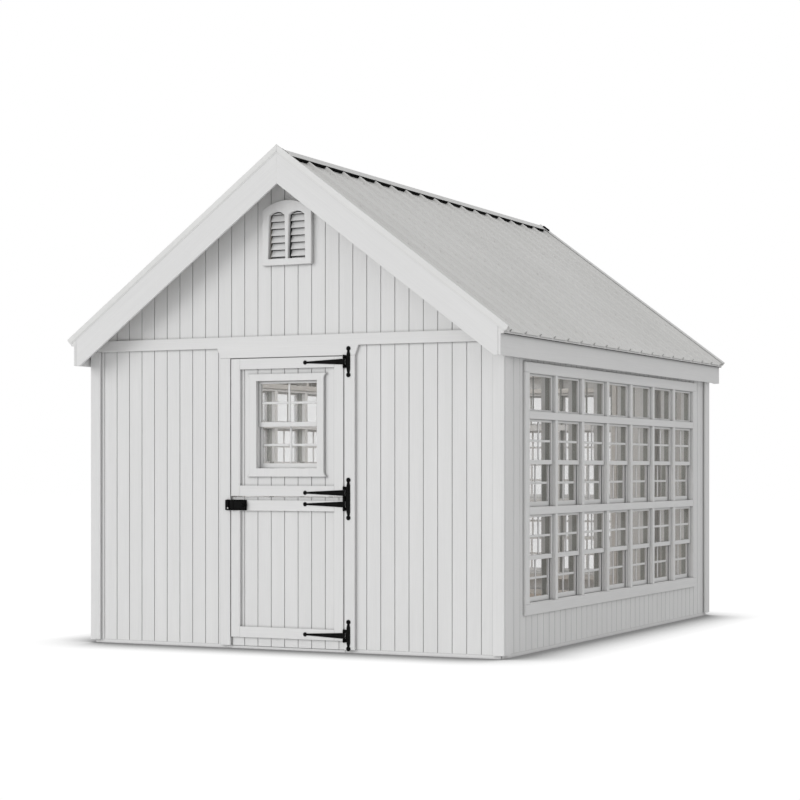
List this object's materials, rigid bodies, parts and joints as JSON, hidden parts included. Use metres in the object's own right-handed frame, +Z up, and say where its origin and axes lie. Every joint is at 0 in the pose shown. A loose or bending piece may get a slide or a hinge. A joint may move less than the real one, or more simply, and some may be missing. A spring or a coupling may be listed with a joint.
{
  "type": "garden greenhouse",
  "caption": "Gable-roofed timber garden greenhouse with window banks in both sides and the back, a ribbed metal roof, gable vents and a split stable door.",
  "frame": {"origin": "on the ground, in the middle of the plan", "axes": "+Z up, -Y out of the door end, +X to the right when facing the door"},
  "size_m": [3.3246, 4.6464, 3.3028],
  "materials": {
    "boards": "grooved boards, painted white",
    "trim": "smooth boards, painted white, satin",
    "timber": "painted structural timber",
    "roof_metal": "ribbed sheet, painted off-white",
    "glass": "clear single glazing",
    "iron": "black powder coat"
  },
  "bodies": {
    "building": {"back_band": "trim", "back_corner_left": "trim", "back_corner_right": "trim", "back_gable": "boards", "back_rake_left": "trim", "back_rake_right": "trim", "back_vent": "trim", "back_wall": "boards", "back_window_frame": "trim", "back_window_glass": "glass", "back_window_sashes": "trim", "door_casing_left": "trim", "door_casing_right": "trim", "floor_deck": "timber", "front_band": "trim", "front_corner_left": "trim", "front_corner_right": "trim", "front_gable": "boards", "front_rake_left": "trim", "front_rake_right": "trim", "front_vent": "trim", "front_wall_left": "boards", "front_wall_right": "boards", "hinge_plate_bottom": "iron", "hinge_plate_middle": "iron", "hinge_plate_top": "iron", "latch_keeper": "iron", "left_eave_board": "trim", "left_roof_deck": "timber", "left_roof_metal": "roof_metal", "left_wall": "boards", "left_window_frame": "trim", "left_window_glass": "glass", "left_window_sashes": "trim", "ridge_cap": "roof_metal", "right_eave_board": "trim", "right_roof_deck": "timber", "right_roof_metal": "roof_metal", "right_wall": "boards", "right_window_frame": "trim", "right_window_glass": "glass", "right_window_sashes": "trim"},
    "upper_door": {"upper_door_leaf": "boards", "door_window_frame": "trim", "door_window_sash": "trim", "door_window_glass": "glass", "strap_top": "iron", "strap_upper_middle": "iron"},
    "lower_door": {"lower_door_leaf": "boards", "strap_lower_middle": "iron", "strap_bottom": "iron", "door_latch": "iron"}
  },
  "joints": [
    {"name": "upper_door_hinge", "type": "hinge", "parent": "building", "child": "upper_door", "pos_m": [0.4251, -2.1732, 1.48], "axis": [0, 0, 1], "range_deg": [0, 160]},
    {"name": "lower_door_hinge", "type": "hinge", "parent": "building", "child": "lower_door", "pos_m": [0.4251, -2.1732, 0.52], "axis": [0, 0, 1], "range_deg": [0, 160]}
  ]
}
